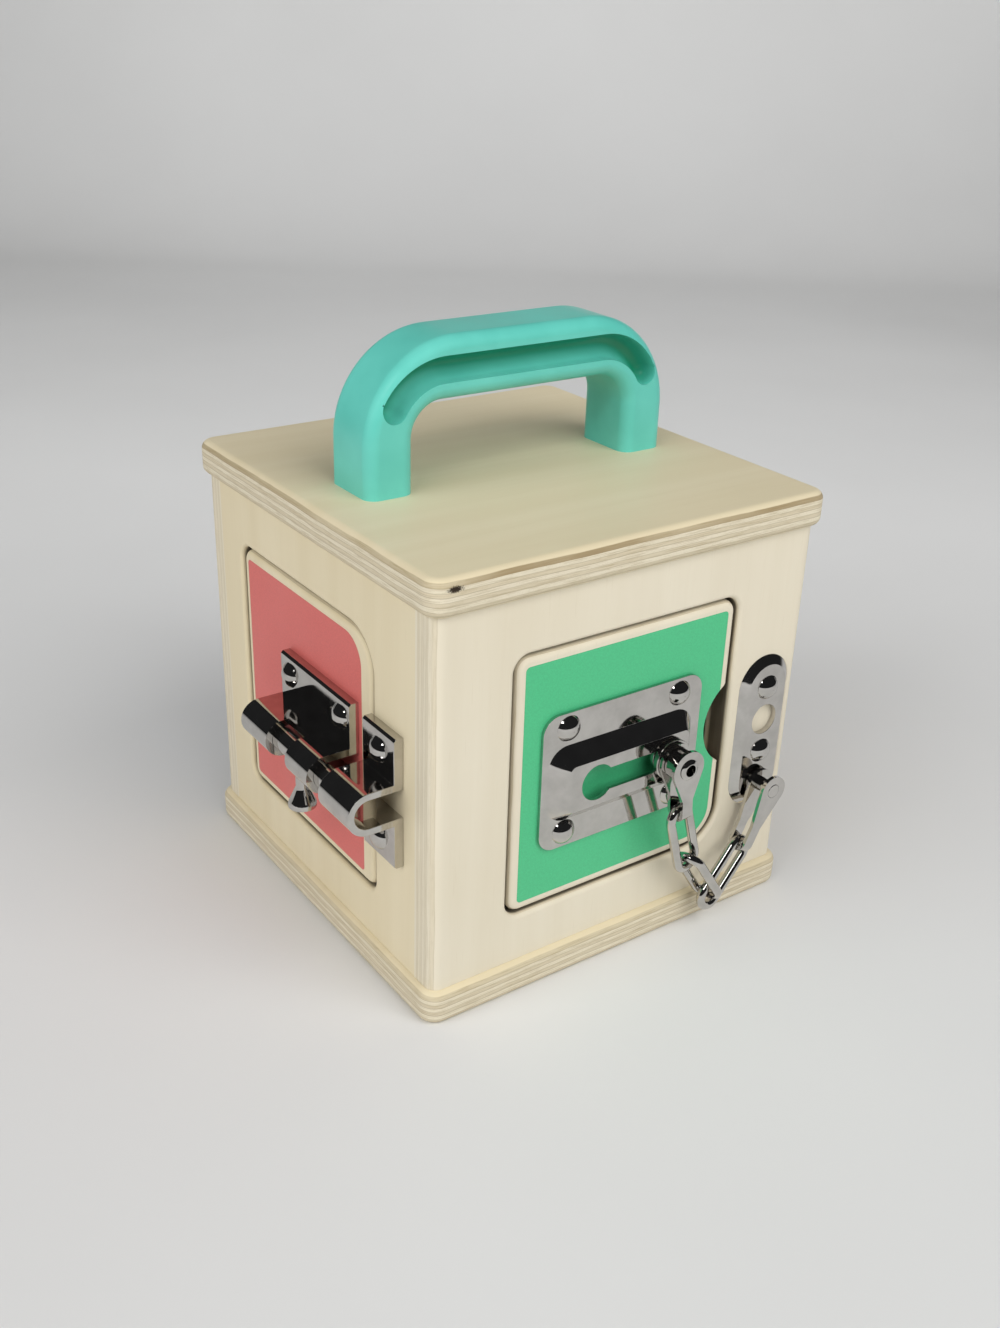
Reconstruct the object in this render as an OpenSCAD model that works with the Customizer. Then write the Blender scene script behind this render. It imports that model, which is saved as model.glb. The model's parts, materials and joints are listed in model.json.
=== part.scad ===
// Latch lock box: a plywood cube with a carrying handle and a latched door on each side.
// Millimetres. Z is up, the origin is the middle of the underside of the base board.
// The chain door faces -Y, the bolt door -X, the turn button door +Y, the hook door +X.

/* [Box] */
// Width and depth of the top and base boards
box_w = 153; // [150:1:180]
// Height of the four walls
wall_h = 128; // [122:1:160]
// Thickness of the top and base boards
board_t = 12; // [9:0.5:15]
// Thickness of the walls
wall_t = 10; // [10:0.5:12]
// How far the boards stand out past the walls
overhang = 2.5; // [1:0.5:5]
// Corner radius of the boards, seen from above
board_corner_r = 6; // [4:0.5:12]
// Rounding along the boards' edges
board_edge_r = 3; // [1:0.5:4]
// Rounding of the box's upright corners
wall_corner_r = 4; // [2:0.5:6]

/* [Doors] */
// Width of each door leaf
door_w = 87; // [84:1:89]
// Height of each door leaf
door_h = 90; // [87:1:96]
// How far the chain door sits towards its hinge side
front_shift = 1.5; // [0:0.5:3]
// How far the bolt door sits towards its hinge side
left_shift = 5; // [2:0.5:6]
// How far the doors sit below the middle of the walls
door_drop = 0.8; // [0:0.2:2]
// Thickness of the door leaves
door_t = 9; // [9:0.5:9.5]
// Gap between a door and its opening
door_gap = 1.2; // [1:0.1:2]
// How far the door faces lie behind the wall faces
door_recess = 0.5; // [0.3:0.1:1]
// Rounding along the doors' edges
door_edge_r = 2.2; // [2:0.1:2.5]
// Corner radius of the doors
door_corner_r = 4.5; // [3:0.5:5]
// Radius of the one large corner of a door
door_large_r = 13; // [8:0.5:15]
// Rounding of the openings' outer edges
opening_edge_r = 1.6; // [0.5:0.1:2]
// Thickness of the coloured facing sheet let into each door
facing_t = 0.6; // [0.4:0.1:1]
// Width of the bare wooden border around the facing
facing_border = 3.2; // [2.6:0.2:6]
// Extra border along the free edge of the bolt door
bolt_border = 3.3; // [0:0.1:4]
// Radius of the finger notch in the chain door
notch_r = 17.5; // [14:0.5:20]
// Depth of the finger notch
notch_depth = 9; // [5:0.5:10]
// Diameter of the hinge pins
pin_d = 3; // [2:0.5:4]
// Depth of a hinge pin in its door
pin_depth = 12; // [8:1:16]

/* [Handle] */
// Length of the handle
handle_l = 118; // [105:1:130]
// Height of the handle above the top board
handle_h = 48; // [46:0.5:56]
// Depth of the handle, front to back
handle_d = 25; // [22:0.5:30]
// Thickness of the grip
grip_t = 20; // [20:0.5:24]
// Length of each foot
foot_l = 17; // [17:0.5:20]
// Outer bend radius
handle_outer_r = 33; // [30:1:33]
// Inner bend radius
handle_inner_r = 11; // [11:0.5:14]
// Rounding along the handle's edges
handle_edge_r = 4.4; // [4.3:0.1:4.5]
// Width of the groove in each side of the handle
groove_w = 8.6; // [8.5:0.1:8.7]
// Depth of the groove
groove_depth = 4.2; // [4.1:0.1:4.2]

/* [Chain lock] */
// Width of the track plate
track_w = 64; // [60:1:66]
// Height of the track plate
track_h = 48; // [44:1:54]
// Thickness of the pressed sheet
sheet_t = 1.2; // [0.8:0.1:1.5]
// Height of the raised track above the plate
track_rise = 5; // [4.5:0.1:6]
// Diameter of the keyhole's round end
keyhole_d = 12.4; // [12:0.1:14]
// Width of the keyhole's slot
slot_w = 7.7; // [7:0.1:8.5]
// Travel of the slider from its rest to the round end
slide_travel = 29.5; // [20:0.5:30]
// Thickness of the chain wire
wire_d = 3.2; // [2.6:0.1:3.3]
// Outer length of a chain link
link_l = 30; // [29:0.5:31]
// Outer width of a chain link
link_w = 11.7; // [11.5:0.1:13]
// Height of the anchor plate
anchor_h = 58; // [56:0.5:64]
// Width of the anchor plate
anchor_w = 22.6; // [20:0.2:23]
// Thickness of the anchor plate
anchor_t = 2.2; // [1.6:0.1:2.5]
// Spacing of the four holes in the anchor plate
anchor_pitch = 12.2; // [12:0.1:13]

/* [Barrel bolt] */
// Diameter of the bolt
bolt_d = 8; // [6:0.5:9]
// Length of the bolt's plate and sleeve
bolt_plate_l = 46; // [43:1:47]
// Height of the bolt's plate
bolt_plate_h = 44; // [42:1:48]
// Thickness of the metal round the bolt
strap_t = 2.4; // [1.5:0.1:2.6]
// Thickness of the flanges of the plate and keeper
flange_t = 3.4; // [2.4:0.1:4]
// Distance of the bolt's axis from the door face
bolt_out = 12.5; // [11:0.5:14]
// Length of the keeper
keeper_l = 18.5; // [14:0.5:19]
// Height of the keeper
keeper_h = 45.5; // [42:0.5:50]
// Play of the bolt in the keeper
keeper_play = 0.9; // [0.8:0.1:1.2]
// Throw of the bolt into the keeper
bolt_throw = 10.5; // [6:0.5:11]
// Travel of the bolt back from rest
bolt_back = 8; // [4:0.5:9]

/* [Hook and turn button] */
// Thickness of the hook and eye wire
hook_wire = 2.8; // [2:0.1:3]
// Reach of the hook from its eye to its tip
hook_reach = 30; // [29:0.5:32]
// Length of the turn button
button_l = 30; // [28:1:34]
// Width of the turn button
button_w = 11; // [9:0.5:13]
// Thickness of the turn button
button_t = 3; // [2:0.5:4]

/* [Rivets] */
// Diameter of a rivet head
rivet_d = 8.8; // [7:0.1:9]
// Height of a rivet head
rivet_h = 2.6; // [1.6:0.1:3]
// Diameter of a rivet shank
shank_d = 3; // [2:0.5:3.5]
// Depth of a rivet shank in the wood
shank_depth = 5.5; // [4:0.5:7]

/* [Hidden] */
$fn = 48;
// Running clearance of pins, bolts and sliders
running = 0.08;
// Clearance of glued and riveted pieces in their holes
seat = 0.05;
// Play left where pieces slide past each other
slide_gap = 0.3;
// Cutters reach this far past the faces they cut
past = 1;
// Rivet holes reach this far out through the plates
through = 6;

// Box levels
wall_w = box_w - 2 * overhang;
face_out = wall_w / 2;
inner_out = face_out - wall_t;
wall_top = board_t + wall_h;
box_top = wall_top + board_t;
door_z = board_t + wall_h / 2 - door_drop;

// Door leaf and opening
opening_w = door_w + 2 * door_gap;
opening_h = door_h + 2 * door_gap;
door_out = face_out - door_recess;
// Place of a hinge, with its door in the middle of the face
pin_x = -door_w / 2 + door_t / 2;
pin_out = door_out - door_t / 2;
plain_edge = opening_w / 2;
front_edge = plain_edge - front_shift;
left_edge = plain_edge - left_shift;
front_corners = [door_corner_r, door_large_r, door_corner_r, door_corner_r];
left_corners = [door_corner_r, door_corner_r, door_large_r, door_corner_r];
plain_corners = [door_corner_r, door_corner_r, door_corner_r, door_corner_r];
facing_corner_r = 1.5;

// Wooden dowels and stops
dowel_d = 5;
dowel_depth = 7;
stop_w = 11;
stop_t = 6;
stop_l = 22;
stop_rise = 28;
stop_lap = 3;

// Angle the handle's grooves follow its bends, and the flat left between groove and rounded edge
groove_turn = 60;
groove_flat = 1.3;
groove_rise = handle_edge_r + groove_flat + groove_w / 2;

// Handle fixing
screw_d = 5;
screw_x = handle_l / 2 - foot_l / 2;
insert_d = 8;
insert_l = 14;
screw_reach = 12;
screw_head_d = 9.5;
screw_head_h = 2.6;

// Chain lock
track_from_edge = 46.2;
track_x = front_edge - track_from_edge;
track_z = door_z - 1;
track_corner_r = 6;
track_slope = 5.2;
track_flat_h = 16.4;
track_flat_w = 48;
track_flat_r = 2;
track_wall = 1;
slot_from_edge = 30.4;
slot_x = front_edge - slot_from_edge;
slot_z = track_z - 0.7;
block_x = track_x - 0.5;
keyhole_x = slot_x - slide_travel;
rivet_in = 10;
track_rivet_x = track_w / 2 - rivet_in + 0.4;
track_rivet_down = 5.4;
track_rivet_z = track_h / 2 - track_rivet_down;
track_front = sheet_t + track_rise;

// Slider stud, from the back of the raised track outwards
slider_head_d = keyhole_d - 1;
slider_head_t = 1.6;
slider_neck_d = slot_w - 2 * running;
slider_flange_d = 14;
slider_flange_t = 1.8;
stud_d = 5;
slider_flange_z = track_front + slide_gap / 2;
slider_strap_z = slider_flange_z + slider_flange_t + slide_gap / 2;

// Folded straps that carry the chain
strap_sheet = 1.3;
strap_gap = 4.8;
slider_disc_d = 12.6;
anchor_disc_d = 10.8;
spacer_d = 10.4;
strap_neck_w = 4.2;
strap_out = 2 * strap_sheet + strap_gap;
slider_strap_l = 19.3;
anchor_strap_l = 23.3;
// Distance from the length of a strap to the point its link hangs from
link_hang = 1.4;
eyelet_d = 7.4;
eyelet_h = 1.2;
eyelet_bore_d = 4;
eyelet_bore = 6;

// Chain run. Angles lean the lower end of a piece to the right of straight down.
link_arc = (link_w - wire_d) / 2;
link_pitch = link_l - link_w;
link_lap = 4;
side_slack = -0.3;
slider_strap_tilt = 4;
upper_link_tilt = 18;
lower_link_tilt = 35;
upper_link_roll = 8;
lower_link_roll = -70;
side_link_roll = 4;
anchor_from_edge = 15.3;
anchor_x = front_edge + anchor_from_edge;
anchor_drop = 7.7;
anchor_z = door_z - anchor_drop;
anchor_hole_z = anchor_z - 0.7;
anchor_stud_z = anchor_hole_z - 1.5 * anchor_pitch;
anchor_flange_t = 1;
anchor_strap_z = anchor_t + anchor_flange_t + slide_gap / 2;
anchor_hole_d = 11;
anchor_bevel = 3;

// Points along the chain, as [right, up]
function below(p, l, a) = [p[0] + l * sin(a), p[1] - l * cos(a)];
stud_point = [slot_x, slot_z];
fold_point = below(stud_point, slider_strap_l + link_hang, slider_strap_tilt);
upper_end = below(fold_point, link_pitch + link_arc - link_lap, upper_link_tilt);
lower_end = below(upper_end, link_pitch + 2 * link_arc, lower_link_tilt);
anchor_point = [anchor_x, anchor_stud_z];
// The side link and the anchor strap close the run as a triangle
reach = norm(anchor_point - lower_end);
run_angle = atan2(anchor_point[1] - lower_end[1], anchor_point[0] - lower_end[0]);
side_reach = link_pitch + side_slack;
anchor_reach = anchor_strap_l + link_hang;
side_angle = acos((pow(side_reach, 2) + pow(reach, 2) - pow(anchor_reach, 2)) / (2 * side_reach * reach));
side_link_dir = run_angle - side_angle;
side_way = [cos(side_link_dir), sin(side_link_dir)];
side_end = lower_end + side_reach * side_way;
side_middle = side_end - link_pitch / 2 * side_way;
anchor_tilt = atan2(side_end[0] - anchor_point[0], anchor_point[1] - side_end[1]);
// Distance of the chain from the door face at the slider and at the anchor, which is nearer the wall
chain_out = slider_strap_z + strap_out / 2;
anchor_chain_out = anchor_strap_z + strap_out / 2 + door_recess;
upper_end_out = chain_out - 1;
lower_end_out = anchor_chain_out + 1.3;
upper_lean = asin((chain_out - upper_end_out) / (link_pitch + link_arc - link_lap));
lower_lean = asin((upper_end_out - lower_end_out) / (link_pitch + 2 * link_arc));
side_lean = asin((lower_end_out - anchor_chain_out) / side_reach);
side_middle_out = anchor_chain_out + link_pitch / 2 * sin(side_lean);

// Barrel bolt, in the left door's own frame
bolt_z = door_z - 2.2;
bolt_plate_x = 7;
bolt_r = bolt_d / 2;
sleeve_in = bolt_r + running;
sleeve_out = sleeve_in + strap_t;
keeper_in = bolt_r + keeper_play;
bolt_left = bolt_plate_x - bolt_plate_l / 2;
bolt_right = bolt_plate_x + bolt_plate_l / 2;
keeper_x = left_edge - door_gap / 2 + keeper_l / 2;
keeper_left = keeper_x - keeper_l / 2;
bolt_tip = keeper_left - 2 * slide_gap;
bolt_tail = bolt_left + 3;
knob_offset = 7;
knob_x = bolt_plate_x + knob_offset;
knob_stem_d = 4;
knob_d = 9.4;
knob_drop = 19.5;
knob_flare_h = 7.5;
window_left = knob_x - bolt_back - knob_stem_d;
window_right = knob_x + knob_stem_d / 2 - 0.5;
bolt_rivet_in = 6;
bolt_rivet_x = bolt_plate_l / 2 - bolt_rivet_in;
bolt_rivet_z = 15.4;
plate_bevel = 0.8;

// Hook and eye on the right wall, in that face's own frame
hook_drop = 4;
hook_z = door_z - hook_drop;
eye_ring_r = 4;
// The eye stands a little past the middle between the opening and the end of its wall
eye_shift = 2.35;
eye_x = (plain_edge + inner_out) / 2 + eye_shift;
door_eye_x = eye_x - hook_reach;
door_eye_z = hook_z - hook_wire - slide_gap;
eye_out = 9;
hook_tip_l = 8;
hook_ring_r = 3.6;

// Turn button on the back wall
button_from_edge = 7;
button_x = plain_edge + button_from_edge;
button_z = door_z;
button_screw_d = 4;
button_head_d = 8;
button_head_h = 2.4;
washer_t = 0.8;
button_end = 6;

// Frames of the four faces: x to the right, y up and z outwards, seen from outside
module on_face(turn, out) {
  rotate([0, 0, turn]) translate([0, -out, 0]) rotate([90, 0, 0]) children();
}

// Flat outline with four corner radii, from lower left and turning anticlockwise
module corner_cut(r) {
  difference() {
    translate([-past, -past]) square(r + past);
    translate([r, r]) circle(r);
  }
}

module outline(w, h, r) {
  difference() {
    square([w, h], center = true);
    translate([-w / 2, -h / 2]) corner_cut(r[0]);
    translate([w / 2, -h / 2]) rotate(90) corner_cut(r[1]);
    translate([w / 2, h / 2]) rotate(180) corner_cut(r[2]);
    translate([-w / 2, h / 2]) rotate(270) corner_cut(r[3]);
  }
}

// Section of a board's rounded edge, with its outer face on x = 0
module rim(t, e) {
  difference() {
    square([e, t]);
    corner_cut(e);
    translate([0, t]) mirror([0, 1]) corner_cut(e);
  }
}

// One side of a rounded board with the corner where it starts
module board_side(len, half, t, r_start, r_end, e) {
  translate([-len / 2 + r_start, -half, 0])
    rotate([90, 0, 90])
      linear_extrude(len - r_start - r_end) rim(t, e);
  translate([-len / 2 + r_start, -half + r_start, 0])
    rotate([0, 0, 180])
      rotate_extrude(angle = 90)
        translate([r_start, 0]) mirror([1, 0]) rim(t, e);
}

// Board with rounded edges on both faces
module board(w, h, t, r, e) {
  linear_extrude(t) outline(w - 2 * e, h - 2 * e, [for (c = r) c - e]);
  board_side(w, h / 2, t, r[0], r[1], e);
  rotate([0, 0, 90]) board_side(h, w / 2, t, r[1], r[2], e);
  rotate([0, 0, 180]) board_side(w, h / 2, t, r[2], r[3], e);
  rotate([0, 0, 270]) board_side(h, w / 2, t, r[3], r[0], e);
}

// Section cut away to round the edge of an opening, outwards in x and down in y
module edge_cut(e) {
  difference() {
    translate([-past / 4, -past / 4]) square(e + past / 4);
    translate([e, e]) circle(e);
  }
}

module flare_side(len, half, r_start, r_end, e) {
  translate([-len / 2 + r_start, -half, 0])
    rotate([90, 0, 90])
      linear_extrude(len - r_start - r_end) mirror([1, 0]) edge_cut(e);
  translate([-len / 2 + r_start, -half + r_start, 0])
    rotate([0, 0, 180])
      rotate_extrude(angle = 90)
        translate([r_start, 0]) edge_cut(e);
}

// Cutter that rounds the edge of an opening in the face z = 0
module flare(w, h, r, e) {
  flare_side(w, h / 2, r[0], r[1], e);
  rotate([0, 0, 90]) flare_side(h, w / 2, r[1], r[2], e);
  rotate([0, 0, 180]) flare_side(w, h / 2, r[2], r[3], e);
  rotate([0, 0, 270]) flare_side(h, w / 2, r[3], r[0], e);
}

// Dome-headed rivet standing on z = 0, its shank down to the given depth
module dome(d, h) {
  ball_r = (d * d / 4 + h * h) / (2 * h);
  rotate_extrude()
    intersection() {
      translate([0, h - ball_r]) circle(ball_r, $fn = 96);
      square([d, h]);
    }
}

module rivet(depth) {
  dome(rivet_d, rivet_h);
  translate([0, 0, -depth]) cylinder(d = shank_d, h = depth + rivet_h / 2);
}

// Holes for the same rivets
module shank_hole(depth) {
  translate([0, 0, -depth - seat]) cylinder(d = shank_d + 2 * seat, h = depth + seat + through);
}

// Places of the riveted pieces, each in its face's frame
module track_rivet_places() {
  for (x = [-1, 1], z = [-1, 1])
    translate([track_x + x * track_rivet_x, track_z + z * track_rivet_z, 0]) children();
}

module anchor_rivet_places() {
  for (k = [-0.5, 1.5]) translate([anchor_x, anchor_hole_z + k * anchor_pitch, 0]) children();
}

module bolt_rivet_places() {
  for (x = [-1, 1], z = [-1, 1])
    translate([bolt_plate_x + x * bolt_rivet_x, bolt_z + z * bolt_rivet_z, 0]) children();
}

module keeper_rivet_places() {
  for (z = [-1, 1]) translate([keeper_x, bolt_z + z * bolt_rivet_z, 0]) children();
}

// Dowels that join the walls end to end, and the boards to the walls
module corner_dowel_places() {
  for (turn = [0, 180], x = [-1, 1], z = [0.2, 0.8])
    rotate([0, 0, turn])
      translate([x * (face_out - wall_t / 2), -inner_out, board_t + z * wall_h])
        rotate([90, 0, 0]) children();
}

module board_dowel_places() {
  for (turn = [0, 180], x = [-1, 1], z = [board_t, wall_top])
    rotate([0, 0, turn])
      translate([x * opening_w * 0.3, -(face_out - wall_t / 2), z]) children();
}

module dowel(spare) {
  half = dowel_depth + 4 * spare;
  translate([0, 0, -half]) cylinder(d = dowel_d + 2 * spare, h = 2 * half);
}

// Base and top
module plain_board() {
  board(box_w, box_w, board_t, [for (k = [0:3]) board_corner_r], board_edge_r);
}

module base_board() {
  color("burlywood") difference() {
    plain_board();
    board_dowel_places() dowel(seat);
  }
}

module top_board() {
  color("burlywood") difference() {
    translate([0, 0, wall_top]) plain_board();
    board_dowel_places() dowel(seat);
    for (x = [-1, 1])
      translate([x * screw_x, 0, wall_top - past])
        cylinder(d = screw_d + 2 * seat, h = board_t + 2 * past);
  }
}

// Opening for a door with its rounded outer edge, in the face's frame
module door_opening(corners) {
  r = [for (c = corners) c + door_gap];
  translate([0, door_z, -wall_t - past])
    linear_extrude(wall_t + 2 * past) outline(opening_w, opening_h, r);
  translate([0, door_z, 0]) mirror([0, 0, 1]) flare(opening_w, opening_h, r, opening_edge_r);
}

// Bores for a door's two hinge pins, from the wall's upper and lower edges
module pin_bores() {
  translate([pin_x, 0, -(face_out - pin_out)]) rotate([-90, 0, 0])
    translate([0, 0, board_t - past]) cylinder(d = pin_d + 2 * seat, h = wall_h + 2 * past);
}

// Front and back walls run the full width, the side walls stand between them
module long_wall(corners, shift) {
  difference() {
    translate([0, board_t, -wall_t]) rotate([-90, 0, 0])
      linear_extrude(wall_h) mirror([0, 1])
        difference() {
          translate([-face_out, 0]) square([wall_w, wall_t]);
          translate([-face_out, wall_t]) mirror([0, 1]) corner_cut(wall_corner_r);
          translate([face_out, wall_t]) rotate(180) corner_cut(wall_corner_r);
        }
    translate([-shift, 0, 0]) {
      door_opening(corners);
      pin_bores();
    }
  }
}

module short_wall(corners, shift) {
  difference() {
    translate([-inner_out, board_t, -wall_t]) cube([2 * inner_out, wall_h, wall_t]);
    translate([-shift, 0, 0]) {
      door_opening(corners);
      pin_bores();
    }
  }
}

module front_wall() {
  color("wheat") difference() {
    on_face(0, face_out) difference() {
      long_wall(front_corners, front_shift);
      anchor_rivet_places() shank_hole(shank_depth);
      translate([anchor_x, anchor_stud_z, 0]) shank_hole(shank_depth);
    }
    corner_dowel_places() dowel(seat);
    board_dowel_places() dowel(seat);
  }
}

module back_wall() {
  color("wheat") difference() {
    on_face(180, face_out) difference() {
      long_wall(plain_corners, 0);
      translate([button_x, button_z, -wall_t - past])
        cylinder(d = button_screw_d + 2 * seat, h = wall_t + 2 * past);
    }
    corner_dowel_places() dowel(seat);
    board_dowel_places() dowel(seat);
  }
}

module left_wall() {
  color("tan") difference() {
    on_face(-90, face_out) difference() {
      short_wall(left_corners, left_shift);
      keeper_rivet_places() shank_hole(shank_depth);
    }
    corner_dowel_places() dowel(seat);
  }
}

module right_wall() {
  color("tan") difference() {
    on_face(90, face_out) difference() {
      short_wall(plain_corners, 0);
      translate([eye_x, hook_z, 0]) shank_hole(shank_depth);
    }
    corner_dowel_places() dowel(seat);
  }
}

module corner_dowels() {
  color("peru") corner_dowel_places() dowel(0);
}

module board_dowels() {
  color("peru") board_dowel_places() dowel(0);
}

// Blocks glued inside each wall, which the doors close against
module door_stops() {
  color("burlywood")
    for (face = [[0, front_edge], [90, plain_edge], [180, plain_edge], [-90, left_edge]], side = [-1, 1])
      on_face(face[0], inner_out)
        translate([face[1] - stop_lap, door_z + side * stop_rise - stop_l / 2, -stop_t])
          cube([stop_w, stop_l, stop_t]);
}

// Handle: a rounded arch with a finger groove along both sides
module groove() {
  bend = handle_inner_r + groove_rise;
  ball_r = (pow(groove_w / 2, 2) + pow(groove_depth, 2)) / (2 * groove_depth);
  run = handle_l / 2 - foot_l - handle_inner_r;
  level = handle_h - grip_t - handle_inner_r;
  translate([0, level, ball_r - groove_depth]) {
    for (side = [0, 1])
      mirror([side, 0, 0]) translate([run, 0, 0]) rotate([0, 0, 90]) mirror([0, 1, 0]) {
        rotate_extrude(angle = groove_turn) translate([bend, 0]) circle(ball_r);
        rotate([0, 0, groove_turn]) translate([bend, 0, 0]) sphere(ball_r);
      }
    translate([-run, bend, 0]) rotate([0, 90, 0]) cylinder(r = ball_r, h = 2 * run);
  }
}

module carry_handle() {
  gap_w = handle_l - 2 * foot_l;
  gap_h = 2 * (handle_h - grip_t);
  gap_r = [for (k = [0:3]) handle_inner_r];
  color("mediumturquoise") translate([0, handle_d / 2, box_top]) rotate([90, 0, 0])
    difference() {
      board(handle_l, 2 * handle_h, handle_d, [for (k = [0:3]) handle_outer_r], handle_edge_r);
      translate([0, 0, -past]) linear_extrude(handle_d + 2 * past) outline(gap_w, gap_h, gap_r);
      flare(gap_w, gap_h, gap_r, handle_edge_r);
      translate([0, 0, handle_d]) mirror([0, 0, 1]) flare(gap_w, gap_h, gap_r, handle_edge_r);
      translate([0, 0, handle_d]) groove();
      mirror([0, 0, 1]) groove();
      translate([-handle_l, -2 * handle_h, -past]) cube([2 * handle_l, 2 * handle_h, handle_d + 2 * past]);
      for (x = [-1, 1])
        translate([x * screw_x, -past, handle_d / 2]) rotate([-90, 0, 0])
          cylinder(d = insert_d + 2 * seat, h = insert_l + past + seat);
    }
}

module handle_inserts() {
  color("gold")
    for (x = [-1, 1])
      translate([x * screw_x, 0, box_top]) difference() {
        cylinder(d = insert_d, h = insert_l);
        translate([0, 0, -past]) cylinder(d = screw_d + 2 * seat, h = screw_reach + 2 * past);
      }
}

module handle_screws() {
  color("silver")
    for (x = [-1, 1])
      translate([x * screw_x, 0, wall_top]) {
        cylinder(d = screw_d, h = board_t + screw_reach);
        mirror([0, 0, 1]) dome(screw_head_d, screw_head_h);
      }
}

// Door leaf with its facing pocket and pin bores, seen in the door's frame
module facing_outline(corners, extra, spare) {
  inset = 2 * facing_border + 2 * spare;
  r = [for (c = corners) max(facing_corner_r, c - facing_border)];
  translate([-extra / 2, 0]) outline(door_w - inset - extra, door_h - inset, r);
}

module leaf(corners, extra) {
  difference() {
    translate([0, door_z, -door_t]) board(door_w, door_h, door_t, corners, door_edge_r);
    translate([0, door_z, -facing_t]) linear_extrude(facing_t + past) facing_outline(corners, extra, 0);
    for (end = [0, 1])
      translate([pin_x, door_z, -door_t / 2]) rotate([end * 180, 0, 0]) rotate([-90, 0, 0])
        translate([0, 0, door_h / 2 - pin_depth - 2 * seat])
          cylinder(d = pin_d + 2 * running, h = pin_depth + past);
  }
}

module facing(corners, extra) {
  translate([0, door_z, -facing_t]) linear_extrude(facing_t) facing_outline(corners, extra, seat);
}

// Hinge pins reach from the edges of the wall into the door
module door_pins() {
  color("gainsboro")
    for (end = [0, 1])
      translate([pin_x, door_z, -door_t / 2]) rotate([end * 180, 0, 0]) rotate([-90, 0, 0])
        translate([0, 0, door_h / 2 - pin_depth])
          cylinder(d = pin_d, h = wall_h / 2 - door_h / 2 - door_drop + pin_depth);
}

module notch_cut() {
  translate([-front_shift + door_w / 2 + notch_r - notch_depth, door_z, -door_t - past])
    cylinder(r = notch_r, h = door_t + 2 * past);
}

// Chain door
module front_door() {
  color("wheat") on_face(0, door_out) difference() {
    translate([-front_shift, 0, 0]) leaf(front_corners, 0);
    notch_cut();
    track_rivet_places() shank_hole(shank_depth);
  }
}

module front_door_facing() {
  color("mediumseagreen") on_face(0, door_out) difference() {
    translate([-front_shift, 0, 0]) facing(front_corners, 0);
    notch_cut();
    track_rivet_places() shank_hole(shank_depth);
  }
}

module front_door_pins() {
  on_face(0, door_out) translate([-front_shift, 0, 0]) door_pins();
}

// Raised track: two crossing trapezium bars and four cones make a block with rounded sloping sides
module sloped_block(w, h, rise, slope, r) {
  for (x = [-1, 1], z = [-1, 1])
    translate([x * (w / 2 - r), z * (h / 2 - r), 0]) cylinder(r1 = r + slope, r2 = r, h = rise);
  rotate([90, 0, 0]) translate([0, 0, -h / 2 + r]) linear_extrude(h - 2 * r)
    polygon([[-w / 2 - slope, 0], [w / 2 + slope, 0], [w / 2, rise], [-w / 2, rise]]);
  rotate([90, 0, 90]) translate([0, 0, -w / 2 + r]) linear_extrude(w - 2 * r)
    polygon([[-h / 2 - slope, 0], [h / 2 + slope, 0], [h / 2, rise], [-h / 2, rise]]);
}

module track_plate() {
  color("silver") on_face(0, door_out) difference() {
    union() {
      translate([track_x, track_z, 0])
        linear_extrude(sheet_t) outline(track_w, track_h, [for (k = [0:3]) track_corner_r]);
      translate([block_x, slot_z, sheet_t])
        sloped_block(track_flat_w, track_flat_h, track_rise, track_slope, track_flat_r);
    }
    translate([block_x, slot_z, 0])
      sloped_block(track_flat_w - track_wall, track_flat_h - track_wall, track_rise, track_slope,
        track_flat_r - track_wall / 2);
    translate([keyhole_x, slot_z, -past]) cylinder(d = keyhole_d, h = track_front + 2 * past);
    translate([slot_x, slot_z, -past]) cylinder(d = slot_w, h = track_front + 2 * past);
    translate([keyhole_x, slot_z - slot_w / 2, -past])
      cube([slide_travel, slot_w, track_front + 2 * past]);
    track_rivet_places() shank_hole(shank_depth);
  }
}

module track_rivets() {
  color("gainsboro") on_face(0, door_out)
    track_rivet_places() translate([0, 0, sheet_t]) rivet(shank_depth + sheet_t);
}

// Slider stud: head behind the track, neck in the slot, flange in front and a hollow riveted end
module slider_stud() {
  end_z = slider_strap_z + strap_out;
  color("silver") on_face(0, door_out) translate([slot_x, slot_z, 0]) difference() {
    union() {
      translate([0, 0, track_rise - slider_head_t - slide_gap])
        cylinder(d = slider_head_d, h = slider_head_t);
      translate([0, 0, track_rise - slide_gap - slider_head_t / 2])
        cylinder(d = slider_neck_d, h = slider_flange_z - track_rise + slide_gap + slider_head_t / 2);
      translate([0, 0, slider_flange_z]) cylinder(d = slider_flange_d, h = slider_flange_t);
      translate([0, 0, slider_flange_z]) cylinder(d = stud_d, h = end_z - slider_flange_z + eyelet_h / 2);
      translate([0, 0, slider_strap_z + strap_sheet + slide_gap / 2])
        cylinder(d = spacer_d, h = strap_gap - slide_gap);
      translate([0, 0, end_z + slide_gap / 2]) dome(eyelet_d, eyelet_h);
    }
    translate([0, 0, end_z - eyelet_bore]) cylinder(d = eyelet_bore_d, h = eyelet_bore + eyelet_h + past);
  }
}

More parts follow.
